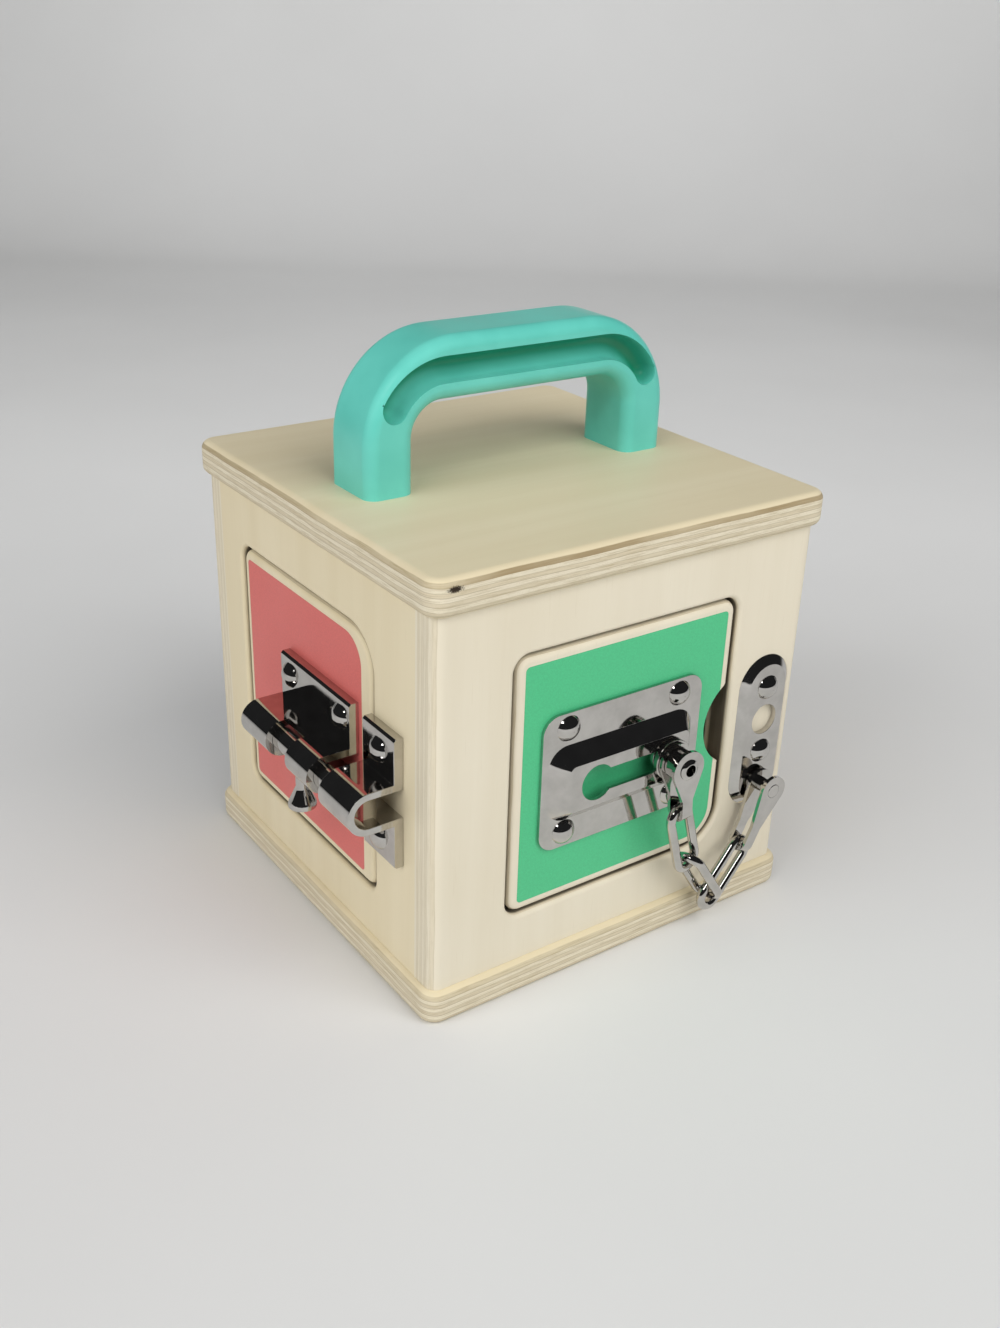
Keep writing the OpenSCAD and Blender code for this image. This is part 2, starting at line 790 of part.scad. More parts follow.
// Strap folded into a hairpin round the chain, its two discs on a stud at the origin
module folded_strap(l, disc_d) {
  fold_r = strap_gap / 2;
  fold_y = -l + fold_r;
  intersection() {
    rotate([90, 0, 90]) translate([0, 0, -disc_d]) linear_extrude(2 * disc_d) difference() {
      union() {
        translate([fold_y, 0]) square([l + disc_d, strap_out]);
        translate([fold_y, strap_out / 2]) circle(strap_out / 2);
      }
      translate([fold_y, strap_sheet]) square([l + 2 * disc_d, strap_gap]);
      translate([fold_y, strap_out / 2]) circle(fold_r);
    }
    linear_extrude(strap_out) difference() {
      union() {
        circle(d = disc_d);
        polygon([
          [-disc_d * 0.46, -disc_d * 0.2], [-strap_neck_w / 2, -l * 0.62],
          [-strap_neck_w / 2, -l - strap_out], [strap_neck_w / 2, -l - strap_out],
          [strap_neck_w / 2, -l * 0.62], [disc_d * 0.46, -disc_d * 0.2]
        ]);
      }
      circle(d = stud_d + 2 * running);
    }
  }
}

module slider_strap() {
  color("silver") on_face(0, door_out)
    translate([slot_x, slot_z, slider_strap_z]) rotate([0, 0, slider_strap_tilt]) folded_strap(slider_strap_l, slider_disc_d);
}

// Chain link with its length along y: two bars and two half rings
module link() {
  for (end = [0, 1])
    rotate([0, 0, end * 180]) {
      translate([link_arc, -link_pitch / 2, 0]) rotate([-90, 0, 0]) cylinder(d = wire_d, h = link_pitch);
      translate([0, link_pitch / 2, 0])
        rotate_extrude(angle = 180) translate([link_arc, 0]) circle(d = wire_d);
    }
}

module upper_link() {
  middle = below(fold_point, link_pitch / 2, upper_link_tilt);
  color("gainsboro") on_face(0, door_out)
    translate([middle[0], middle[1], chain_out - link_pitch / 2 * sin(upper_lean)])
      rotate([0, 0, upper_link_tilt]) rotate([upper_lean, 0, 0]) rotate([0, upper_link_roll, 0]) link();
}

module lower_link() {
  middle = (upper_end + lower_end) / 2;
  color("gainsboro") on_face(0, door_out)
    translate([middle[0], middle[1], (upper_end_out + lower_end_out) / 2])
      rotate([0, 0, lower_link_tilt]) rotate([lower_lean, 0, 0]) rotate([0, lower_link_roll, 0]) link();
}

module side_link() {
  color("gainsboro") on_face(0, door_out)
    translate([side_middle[0], side_middle[1], side_middle_out])
      rotate([0, 0, side_link_dir - 90]) rotate([-side_lean, 0, 0]) rotate([0, side_link_roll, 0]) link();
}

module anchor_strap() {
  color("silver") on_face(0, face_out)
    translate([anchor_x, anchor_stud_z, anchor_strap_z]) rotate([0, 0, anchor_tilt])
      folded_strap(anchor_strap_l, anchor_disc_d);
}

module anchor_stud() {
  end_z = anchor_strap_z + strap_out;
  color("silver") on_face(0, face_out) translate([anchor_x, anchor_stud_z, 0]) {
    translate([0, 0, anchor_t]) cylinder(d = eyelet_d + 1, h = anchor_flange_t);
    translate([0, 0, anchor_t]) cylinder(d = stud_d, h = end_z - anchor_t + slide_gap / 2);
    translate([0, 0, -shank_depth]) cylinder(d = shank_d, h = shank_depth + anchor_t + anchor_flange_t / 2);
  }
}

// Anchor plate: a bevelled bar with round ends and four holes, one left open
module anchor_plate() {
  run = anchor_h - anchor_w;
  flat_r = anchor_w / 2 - anchor_bevel;
  color("silver") on_face(0, face_out) difference() {
    translate([anchor_x, anchor_z, 0]) {
      for (end = [-1, 1])
        translate([0, end * run / 2, 0]) cylinder(r1 = anchor_w / 2, r2 = flat_r, h = anchor_t);
      translate([0, -run / 2, 0]) rotate([-90, 0, 0]) linear_extrude(run)
        polygon([[-anchor_w / 2, 0], [anchor_w / 2, 0], [flat_r, -anchor_t], [-flat_r, -anchor_t]]);
    }
    anchor_rivet_places() shank_hole(shank_depth);
    translate([anchor_x, anchor_stud_z, 0]) shank_hole(shank_depth);
    translate([anchor_x, anchor_hole_z + anchor_pitch / 2, -past])
      cylinder(d = anchor_hole_d, h = anchor_t + 2 * past);
  }
}

module anchor_rivets() {
  color("gainsboro") on_face(0, face_out)
    anchor_rivet_places() translate([0, 0, anchor_t]) rivet(shank_depth + anchor_t);
}

// Bolt door
module left_door() {
  color("wheat") on_face(-90, door_out) difference() {
    translate([-left_shift, 0, 0]) leaf(left_corners, bolt_border);
    bolt_rivet_places() shank_hole(shank_depth);
  }
}

module left_door_facing() {
  color("indianred") on_face(-90, door_out) difference() {
    translate([-left_shift, 0, 0]) facing(left_corners, bolt_border);
    bolt_rivet_places() shank_hole(shank_depth);
  }
}

module left_door_pins() {
  on_face(-90, door_out) translate([-left_shift, 0, 0]) door_pins();
}

// Strap bent over the bolt: two flanges and a round-topped tunnel, drawn across the bolt
module omega(h, out, bore) {
  difference() {
    union() {
      translate([-h / 2, 0]) square([h, flange_t]);
      translate([-bore - strap_t, 0]) square([2 * (bore + strap_t), out]);
      translate([0, out]) circle(bore + strap_t);
    }
    translate([-bore, -past]) square([2 * bore, out + past]);
    translate([0, out]) circle(bore);
  }
}

// Lies along x with its flanges on z = 0, the outer corners of the flanges bevelled
module bent_strap(l, h, out, bore) {
  difference() {
    rotate([90, 0, 90]) linear_extrude(l) omega(h, out, bore);
    for (side = [-1, 1], end = [0, l])
      translate([end, side * h / 2, flange_t]) rotate([45, 0, 0])
        cube([2 * l, plate_bevel * 1.4, plate_bevel * 1.4], center = true);
  }
}

module bolt_plate() {
  color("silver") on_face(-90, door_out) difference() {
    translate([bolt_left, bolt_z, 0]) bent_strap(bolt_plate_l, bolt_plate_h, bolt_out, sleeve_in);
    translate([window_left, bolt_z - sleeve_out - past, bolt_out - knob_stem_d / 2 - slide_gap])
      cube([window_right - window_left, 2 * (sleeve_out + past), sleeve_out * 2]);
    translate([knob_x, bolt_z - sleeve_out - past, bolt_out - knob_stem_d / 2 - slide_gap])
      cube([bolt_throw + knob_stem_d / 2 + slide_gap, sleeve_out + past, knob_stem_d + 2 * slide_gap]);
    bolt_rivet_places() shank_hole(shank_depth);
  }
}

module bolt_plate_rivets() {
  color("gainsboro") on_face(-90, door_out)
    bolt_rivet_places() translate([0, 0, flange_t]) rivet(shank_depth + flange_t);
}

module bolt_rod() {
  chamfer = 0.8;
  color("gainsboro") on_face(-90, door_out) translate([0, bolt_z, bolt_out]) rotate([0, 90, 0])
    difference() {
      union() {
        translate([0, 0, bolt_tail]) cylinder(d1 = bolt_d - 2 * chamfer, d2 = bolt_d, h = chamfer);
        translate([0, 0, bolt_tail + chamfer]) cylinder(d = bolt_d, h = bolt_tip - bolt_tail - 2 * chamfer);
        translate([0, 0, bolt_tip - chamfer]) cylinder(d1 = bolt_d, d2 = bolt_d - 2 * chamfer, h = chamfer);
      }
      translate([0, 0, knob_x]) rotate([-90, 0, 0]) mirror([0, 0, 1])
        cylinder(d = knob_stem_d + 2 * seat, h = bolt_d);
    }
}

// Knob: a stem set in the bolt, flaring to a flat end
module bolt_knob() {
  flare_top = knob_drop - knob_flare_h;
  color("silver") on_face(-90, door_out) translate([knob_x, bolt_z, bolt_out]) rotate([90, 0, 0]) {
    translate([0, 0, seat]) cylinder(d = knob_stem_d, h = flare_top + seat);
    translate([0, 0, flare_top]) cylinder(d1 = knob_stem_d, d2 = knob_d, h = knob_flare_h - 1.4);
    translate([0, 0, knob_drop - 1.4]) cylinder(d = knob_d, h = 1.4);
  }
}

module bolt_keeper() {
  color("silver") on_face(-90, face_out) difference() {
    translate([keeper_left, bolt_z, 0]) bent_strap(keeper_l, keeper_h, bolt_out - door_recess, keeper_in);
    keeper_rivet_places() shank_hole(shank_depth);
  }
}

module keeper_rivets() {
  color("gainsboro") on_face(-90, face_out)
    keeper_rivet_places() translate([0, 0, flange_t]) rivet(shank_depth + flange_t);
}

// Hook door
module right_door() {
  color("wheat") on_face(90, door_out) difference() {
    leaf(plain_corners, 0);
    translate([door_eye_x, door_eye_z, 0]) shank_hole(shank_depth);
  }
}

module right_door_facing() {
  color("goldenrod") on_face(90, door_out) difference() {
    facing(plain_corners, 0);
    translate([door_eye_x, door_eye_z, 0]) shank_hole(shank_depth);
  }
}

module right_door_pins() {
  on_face(90, door_out) door_pins();
}

// Screw eye: a ring on a shank with a small collar, lying level or turned upright
module screw_eye(out, upright) {
  translate([0, 0, -shank_depth]) cylinder(d = shank_d, h = shank_depth + out - eye_ring_r);
  cylinder(d = shank_d + 2.4, h = 1);
  translate([0, 0, out]) rotate([upright ? 0 : 90, upright ? 90 : 0, 0])
    rotate_extrude() translate([eye_ring_r, 0]) circle(d = hook_wire);
}

module door_eye() {
  color("silver") on_face(90, door_out) translate([door_eye_x, door_eye_z, 0]) screw_eye(eye_out, false);
}

// Pin with a round head that the hook turns on
module hook_eye() {
  color("silver") on_face(90, face_out) translate([eye_x, hook_z, 0]) {
    translate([0, 0, -shank_depth]) cylinder(d = shank_d, h = shank_depth + past);
    cylinder(d = 2 * (hook_ring_r - hook_wire / 2 - running), h = eye_out - door_recess + hook_wire);
    cylinder(d = 2 * hook_ring_r, h = eye_out - door_recess - hook_wire / 2 - slide_gap);
    translate([0, 0, eye_out - door_recess + hook_wire / 2 + slide_gap]) dome(2 * hook_ring_r + 1, rivet_h);
  }
}

// Hook at rest, hanging from its pin: ring, straight wire and bent tip
module hook() {
  straight = hook_reach - hook_ring_r;
  color("gainsboro") on_face(90, face_out) translate([eye_x, hook_z, eye_out - door_recess]) {
    rotate_extrude() translate([hook_ring_r, 0]) circle(d = hook_wire);
    translate([0, -hook_ring_r - straight + hook_wire, 0]) rotate([-90, 0, 0])
      cylinder(d = hook_wire, h = straight - hook_wire);
    translate([hook_wire, -hook_reach + hook_wire, 0]) rotate([0, 0, 180])
      rotate_extrude(angle = 90) translate([hook_wire, 0]) circle(d = hook_wire);
    translate([hook_wire, -hook_reach, 0]) rotate([0, 90, 0]) cylinder(d = hook_wire, h = hook_tip_l - hook_wire);
  }
}

// Turn button door
module back_door() {
  color("wheat") on_face(180, door_out) leaf(plain_corners, 0);
}

module back_door_facing() {
  color("cornflowerblue") on_face(180, door_out) facing(plain_corners, 0);
}

module back_door_pins() {
  on_face(180, door_out) door_pins();
}

// Button at rest, standing clear of the door, and its screw with a washer face
module turn_button() {
  color("silver") on_face(180, face_out) translate([button_x, button_z, washer_t + slide_gap / 2]) difference() {
    linear_extrude(button_t) union() {
      circle(d = button_w);
      translate([0, button_l - button_w]) circle(d = button_w);
      translate([-button_w / 2, 0]) square([button_w, button_l - button_w]);
    }
    translate([0, 0, -past]) cylinder(d = button_screw_d + 2 * running, h = button_t + 2 * past);
  }
}

module button_screw() {
  top = washer_t + button_t + slide_gap;
  color("gainsboro") on_face(180, face_out) translate([button_x, button_z, 0]) {
    translate([0, 0, -wall_t + past]) cylinder(d = button_screw_d, h = wall_t - past + top);
    cylinder(d = button_head_d, h = washer_t);
    translate([0, 0, top]) dome(button_head_d, button_head_h);
  }
}

base_board();
top_board();
front_wall();
back_wall();
left_wall();
right_wall();
corner_dowels();
board_dowels();
door_stops();
carry_handle();
handle_inserts();
handle_screws();
front_door();
front_door_facing();
front_door_pins();
track_plate();
track_rivets();
slider_stud();
slider_strap();
upper_link();
lower_link();
side_link();
anchor_strap();
anchor_stud();
anchor_plate();
anchor_rivets();
left_door();
left_door_facing();
left_door_pins();
bolt_plate();
bolt_plate_rivets();
bolt_rod();
bolt_knob();
bolt_keeper();
keeper_rivets();
right_door();
right_door_facing();
right_door_pins();
hook();
hook_eye();
door_eye();
back_door();
back_door_facing();
back_door_pins();
turn_button();
button_screw();
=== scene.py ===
import json
import math

import bmesh
import bpy
from mathutils import Matrix, Vector

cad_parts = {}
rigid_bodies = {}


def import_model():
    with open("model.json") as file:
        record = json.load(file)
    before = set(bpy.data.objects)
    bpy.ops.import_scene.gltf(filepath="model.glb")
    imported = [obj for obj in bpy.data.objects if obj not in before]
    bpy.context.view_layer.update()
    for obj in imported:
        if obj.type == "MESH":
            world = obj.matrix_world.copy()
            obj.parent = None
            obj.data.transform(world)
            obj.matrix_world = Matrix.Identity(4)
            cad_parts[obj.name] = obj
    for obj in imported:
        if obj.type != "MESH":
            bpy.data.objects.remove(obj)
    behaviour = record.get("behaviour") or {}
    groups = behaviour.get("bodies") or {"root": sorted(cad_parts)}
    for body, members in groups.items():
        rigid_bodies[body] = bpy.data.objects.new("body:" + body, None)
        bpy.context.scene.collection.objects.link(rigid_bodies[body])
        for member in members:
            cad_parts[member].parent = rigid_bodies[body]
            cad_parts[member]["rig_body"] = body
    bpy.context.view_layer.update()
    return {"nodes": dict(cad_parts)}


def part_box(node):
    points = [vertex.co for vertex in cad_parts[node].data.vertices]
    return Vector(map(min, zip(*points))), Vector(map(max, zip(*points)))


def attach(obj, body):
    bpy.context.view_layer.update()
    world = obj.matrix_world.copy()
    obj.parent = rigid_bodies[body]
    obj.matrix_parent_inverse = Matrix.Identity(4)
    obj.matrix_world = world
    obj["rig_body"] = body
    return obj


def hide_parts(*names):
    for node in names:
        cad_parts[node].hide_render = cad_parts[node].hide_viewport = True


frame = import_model()
nodes = frame["nodes"]
mm = 0.001
print("frame loaded with", len(nodes), "nodes")


def hexColour(code):
    # sRGB hex to linear, with alpha
    parts = [int(code[i:i + 2], 16) / 255 for i in (1, 3, 5)]
    return tuple(p / 12.92 if p <= 0.04045 else ((p + 0.055) / 1.055) ** 2.4
                 for p in parts) + (1.0,)


def addNode(tree, kind, links=None, stops=None, **settings):
    # An entry of links is a socket to join or a value to set
    # stops are a ramp's places and colours
    node = tree.nodes.new(kind)
    for name, value in settings.items():
        setattr(node, name, value)
    for key, value in (links or {}).items():
        if isinstance(value, bpy.types.NodeSocket):
            tree.links.new(value, node.inputs[key])
        else:
            node.inputs[key].default_value = value
    if stops:
        points = node.color_ramp.elements
        for point, (place, colour) in ((points[0], stops[0]), (points[1], stops[-1])):
            point.position, point.color = place, hexColour(colour)
        for place, colour in stops[1:-1]:
            points.new(place).color = hexColour(colour)
    return node


def newMaterial(name, **values):
    material = bpy.data.materials.new(name)
    material.use_nodes = True
    shader = material.node_tree.nodes["Principled BSDF"]
    for key, value in values.items():
        shader.inputs[key.replace("_", " ")].default_value = value
    return material, material.node_tree, shader


def joinShader(tree, shader, **sockets):
    for key, socket in sockets.items():
        tree.links.new(socket, shader.inputs[key.replace("_", " ")])


def dress(material, *names):
    for name in names:
        slots = nodes[name].data.materials
        slots.clear()
        slots.append(material)


noiseLow, noiseHigh = 0.3, 0.7  # most of a noise pattern lies between these

# Birch plywood: rotary-cut veneers, sanded and clear lacquered. The faces are pale with faint long
# grain. A cut edge shows thin glue lines between light plies, open end grain and torn fibres.
plyLook = {
    "pale": ("#ece3ce", "#e5dbc4"), "warm": ("#ecdfbf", "#e3d4b0"),  # light and deep, on a face
    "streak": "#d3c5a2", "fleck": "#bfae88", "endGrain": "#b3a27c", "fibre": "#a8946a",
    # The near-black for the door gap is painted shade, and so is the near-black inside the open knot
    "brown": "#8f7850", "gapShade": "#2f2316", "void": "#2e2114",
    "ior": 1.5, "faceRough": 0.46, "edgeRough": 0.62, "reliefMm": 0.1, "reliefShow": 0.16,
    "grainStretch": 0.04, "dashStretch": 0.12, "fibreStretch": 0.03,
    # Patterns: way they are drawn out, size in mm, detail, roughness, distortion
    "patterns": {
        "grain": ("grain", 1.6, 6.0, 0.6, 0.4), "broad": ("grain", 22.222, 3.0, 0.5, 1.2),
        "fleck": ("grain", 0.6, 1.0, 0.5, 0.0), "cloud": ("even", 71.43, 3.0, 0.5, 0.0),
        "waver": ("even", 23.81, 3.0, 0.5, 0.0), "speck": ("even", 0.35, 2.0, 0.5, 0.0),
        "dash": ("dash", 0.7, 4.0, 0.65, 0.0), "fibre": ("fibre", 0.3, 3.0, 0.7, 0.0)},
    # Marks, one over the other: side, pattern, levels where they start and are full, share, colour
    "marks": (
        ("face", "grain", 0.50, 0.78, 0.07, "streak"),
        ("face", "fleck", 0.68, 0.76, 0.08, "fleck"),
        ("face", "cloud", 0.40, 0.75, 0.16, "streak"),
        ("edge", "dash", 0.54, 0.72, 0.38, "endGrain"),
        ("edge", "fibre", 0.48, 0.70, 0.55, "fibre"),
        ("edge", "speck", 0.58, 0.76, 0.28, "fleck")),
    "broadLevels": (0.22, 0.74), "waverMm": 0.16,
    "veneerFrom": (0.405, 0.42),  # shares of the thickness, from the middle
    # Painted shade on the edge of a door's opening: reach past the door in mm, least and most share
    # in patches, depths from the middle where it starts and is full
    "gapShadeReachMm": 2.2, "gapShadeShare": (0.72, 0.96), "gapShadeDepth": (0.38, 0.28),
    "stainHalf": 0.07, "stainLevels": (0.40, 0.66), "stainShare": (0.10, 0.80),
    "knotStretch": 0.4, "knotRaggedMm": 1.4, "knotRimMm": (1.9, 1.3),
    # Cut edge from one face to the other, as shares of the thickness
    "plies": (
        (0.0, "#eadfc6"), (0.085, "#e8ddc3"), (0.095, "#b9a98a"), (0.112, "#dacdb1"),
        (0.195, "#ddd1b5"), (0.205, "#c6b89a"), (0.22, "#e6dcc4"), (0.325, "#e8dfc8"),
        (0.335, "#b5a687"), (0.352, "#d8ccb2"), (0.435, "#dbcfb4"), (0.445, "#c0b294"),
        (0.46, "#e7ddc6"), (0.555, "#e9dfc8"), (0.565, "#b3a485"), (0.582, "#d9cdb2"),
        (0.665, "#dccfb3"), (0.675, "#beb092"), (0.69, "#e6dcc4"), (0.785, "#e8dec6"),
        (0.795, "#b4a586"), (0.812, "#d4c7a9"), (0.905, "#d7caac"), (0.915, "#c9bb9b"),
        (0.925, "#e8ddc3"), (1.0, "#eadfc6")),
}


def birchPly(name, layer, low, high, grainWay, tone,
             edgeShow=1.0, door=None, brownAt=None, voidAt=None):
    look = plyLook
    material, tree, shader = newMaterial(name, IOR=look["ior"])
    place = addNode(tree, "ShaderNodeTexCoord").outputs["Object"]
    split = addNode(tree, "ShaderNodeSeparateXYZ", {0: place})

    # Patterns are drawn out along the grain on a face and along the plies on an edge
    scales = {"grain": [look["grainStretch"] if axis == grainWay else 1.0 for axis in range(3)]}
    for key in ("dash", "fibre"):
        scales[key] = [1.0 if axis == layer else look[key + "Stretch"] for axis in range(3)]
    ways = {"even": place}
    for key, scale in scales.items():
        ways[key] = addNode(tree, "ShaderNodeMapping", {"Vector": place, "Scale": scale}).outputs[0]
    pattern = {}
    for key, (way, size, detail, roughness, distortion) in look["patterns"].items():
        pattern[key] = addNode(tree, "ShaderNodeTexNoise", {
            "Vector": ways[way], "Scale": 1 / (size * mm), "Detail": detail,
            "Roughness": roughness, "Distortion": distortion}).outputs[0]

    # The plies lie through the thickness and waver a little along the edge
    sway = look["waverMm"] * mm / (high - low)
    shift = addNode(tree, "ShaderNodeMapRange", {
        "Value": pattern["waver"], "From Min": noiseLow, "From Max": noiseHigh,
        "To Min": -sway, "To Max": sway})
    level = addNode(tree, "ShaderNodeMapRange", {
        "Value": split.outputs[layer], "From Min": low, "From Max": high}, clamp=False)
    depth = addNode(tree, "ShaderNodeMath", {
        0: level.outputs[0], 1: shift.outputs[0]}, operation="ADD").outputs[0]
    centred = addNode(tree, "ShaderNodeMath", {0: depth, 1: 0.5}, operation="SUBTRACT")
    away = addNode(tree, "ShaderNodeMath", {0: centred.outputs[0]}, operation="ABSOLUTE").outputs[0]

    faceLight, faceDeep = look[tone]
    deepAt, lightAt = look["broadLevels"]
    colours = {
        "face": addNode(tree, "ShaderNodeValToRGB", {0: pattern["broad"]}, stops=[
            (deepAt, faceDeep), (lightAt, faceLight)]).outputs[0],
        "edge": addNode(tree, "ShaderNodeValToRGB", {0: depth}, stops=look["plies"]).outputs[0]}
    marks = {}
    for side, key, start, full, share, colour in look["marks"]:
        marks[key] = addNode(tree, "ShaderNodeMapRange", {
            "Value": pattern[key], "From Min": start, "From Max": full, "To Max": share}).outputs[0]
        colours[side] = addNode(tree, "ShaderNodeMix", {
            0: marks[key], 6: colours[side], 7: hexColour(look[colour])},
            data_type="RGBA").outputs[2]
    face = colours["face"]
    edge = addNode(tree, "ShaderNodeMix", {
        0: edgeShow, 6: face, 7: colours["edge"]}, data_type="RGBA").outputs[2]

    if door:
        # Painted shade: the edge of the door's opening goes near black in patches, away from the
        # outer veneers, where the gap round the door is in shade
        lowest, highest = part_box(door)
        inside = []
        for axis in (1 - layer, 2):
            centre = (lowest[axis] + highest[axis]) / 2
            half = (highest[axis] - lowest[axis]) / 2 + look["gapShadeReachMm"] * mm
            inside.append(addNode(tree, "ShaderNodeMath", {
                0: split.outputs[axis], 1: centre, 2: half}, operation="COMPARE").outputs[0])
        leastShade, mostShade = look["gapShadeShare"]
        shadePatch = addNode(tree, "ShaderNodeMapRange", {
            "Value": pattern["cloud"], "From Min": noiseLow, "From Max": noiseHigh,
            "To Min": leastShade, "To Max": mostShade}).outputs[0]
        shadeStart, shadeFull = look["gapShadeDepth"]
        shadeShare = addNode(tree, "ShaderNodeMapRange", {
            "Value": away, "From Min": shadeStart, "From Max": shadeFull}).outputs[0]
        gapShaded = inside[0]
        for share in (inside[1], shadePatch, shadeShare):
            gapShaded = addNode(tree, "ShaderNodeMath", {
                0: gapShaded, 1: share}, operation="MULTIPLY").outputs[0]
        edge = addNode(tree, "ShaderNodeMix", {
            0: gapShaded, 6: edge, 7: hexColour(look["gapShade"])}, data_type="RGBA").outputs[2]
    if brownAt:
        # One ply stained brown in long patches
        band = addNode(tree, "ShaderNodeMath", {
            0: depth, 1: brownAt, 2: look["stainHalf"]}, operation="COMPARE")
        stainStart, stainFull = look["stainLevels"]
        leastStain, mostStain = look["stainShare"]
        patch = addNode(tree, "ShaderNodeMapRange", {
            "Value": pattern["cloud"], "From Min": stainStart, "From Max": stainFull,
            "To Min": leastStain, "To Max": mostStain})
        stain = addNode(tree, "ShaderNodeMath", {
            0: band.outputs[0], 1: patch.outputs[0]}, operation="MULTIPLY")
        edge = addNode(tree, "ShaderNodeMix", {
            0: stain.outputs[0], 6: edge, 7: hexColour(look["brown"])}, data_type="RGBA").outputs[2]

    # The two outer veneers carry the face
    veneerStart, veneerFull = look["veneerFrom"]
    outer = addNode(tree, "ShaderNodeMapRange", {
        "Value": away, "From Min": veneerStart, "From Max": veneerFull}).outputs[0]
    wood = addNode(tree, "ShaderNodeMix", {0: outer, 6: edge, 7: face}, data_type="RGBA").outputs[2]
    if voidAt:
        # One small open knot in the edge, longer than it is high, painted near black as the shade
        # inside its hole
        squeeze = [look["knotStretch"], 1.0, 1.0]
        squeezed = addNode(tree, "ShaderNodeMapping", {"Vector": place, "Scale": squeeze})
        reach = addNode(tree, "ShaderNodeVectorMath", {
            0: squeezed.outputs[0], 1: [at * s * mm for at, s in zip(voidAt, squeeze)]},
            operation="DISTANCE")
        ragged = addNode(tree, "ShaderNodeMath", {
            0: pattern["speck"], 1: look["knotRaggedMm"] * mm, 2: reach.outputs["Value"]},
            operation="MULTIPLY_ADD")
        rimOuter, rimInner = look["knotRimMm"]
        knot = addNode(tree, "ShaderNodeMapRange", {
            "Value": ragged.outputs[0], "From Min": rimOuter * mm, "From Max": rimInner * mm})
        wood = addNode(tree, "ShaderNodeMix", {
            0: knot.outputs[0], 6: wood, 7: hexColour(look["void"])}, data_type="RGBA").outputs[2]
    rough = addNode(tree, "ShaderNodeMapRange", {
        "Value": outer, "To Min": look["edgeRough"], "To Max": look["faceRough"]})
    relief = addNode(tree, "ShaderNodeMath", {
        0: pattern["grain"], 1: marks["dash"]}, operation="SUBTRACT")
    bump = addNode(tree, "ShaderNodeBump", {
        "Strength": look["reliefShow"], "Distance": look["reliefMm"] * mm,
        "Height": relief.outputs[0]})
    joinShader(tree, shader, Base_Color=wood, Roughness=rough.outputs[0], Normal=bump.outputs[0])
    return material


# Axis through the plies, axis of the face grain, tone; edgeShow is how clearly a cut edge differs
boards = {
    "base_board": ("Z", "X", "warm", {}),
    "top_board": ("Z", "X", "warm", {"brownAt": 0.865, "voidAt": (-69.0, -76.5, 149.0)}),
}
for side, layerAxis, tone in (
        ("front", "Y", "pale"), ("back", "Y", "pale"),
        ("left", "X", "warm"), ("right", "X", "warm")):
    boards[side + "_wall"] = (layerAxis, "Z", tone, {"edgeShow": 0.5, "door": side + "_door"})
    boards[side + "_door"] = (layerAxis, "Z", tone, {"edgeShow": 0.7})
for name, (layerAxis, grainAxis, tone, extra) in boards.items():
    lowest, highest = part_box(name)
    layer, grainWay = "XYZ".index(layerAxis), "XYZ".index(grainAxis)
    dress(birchPly("birchPly_" + name, layer, lowest[layer], highest[layer],
                   grainWay, tone, **extra), name)
print("plywood done")


# Solid beech: turned dowels and sawn blocks, a warmer plain brown with short grain flecks
beechLook = {"light": "#cfae84", "deep": "#b8946a", "grainMm": 1.2, "grainStretch": 0.08,
             "levels": (0.35, 0.65), "roughness": 0.6, "ior": 1.5}


def solidBeech():
    look = beechLook
    material, tree, shader = newMaterial("solidBeech", Roughness=look["roughness"], IOR=look["ior"])
    place = addNode(tree, "ShaderNodeTexCoord").outputs["Object"]
    along = addNode(tree, "ShaderNodeMapping", {
        "Vector": place, "Scale": [1.0, 1.0, look["grainStretch"]]})
    grain = addNode(tree, "ShaderNodeTexNoise", {
        "Vector": along.outputs[0], "Scale": 1 / (look["grainMm"] * mm), "Detail": 5.0})
    deepAt, lightAt = look["levels"]
    tone = addNode(tree, "ShaderNodeValToRGB", {0: grain.outputs[0]}, stops=[
        (deepAt, look["deep"]), (lightAt, look["light"])])
    joinShader(tree, shader, Base_Color=tone.outputs[0])
    return material


dress(solidBeech(), "corner_dowels", "board_dowels", "door_stops")


# Moulded handle: satin ABS, even teal with a soft broad sheen. The fine moulded texture is drawn
# coarser than it is, so that it shows.
handleLook = {
    # The deep green is painted shade in the groove, under its upper lip
    "colour": "#6ed5c6", "shade": "#62cabb", "hollow": "#0c8f6b", "levels": (0.35, 0.65),
    "ior": 1.53, "roughness": 0.34, "duller": 0.06, "glossier": 0.05, "cloudMm": 22.222,
    "textureMm": 0.5, "reliefMm": 0.05, "reliefShow": 0.10,
}


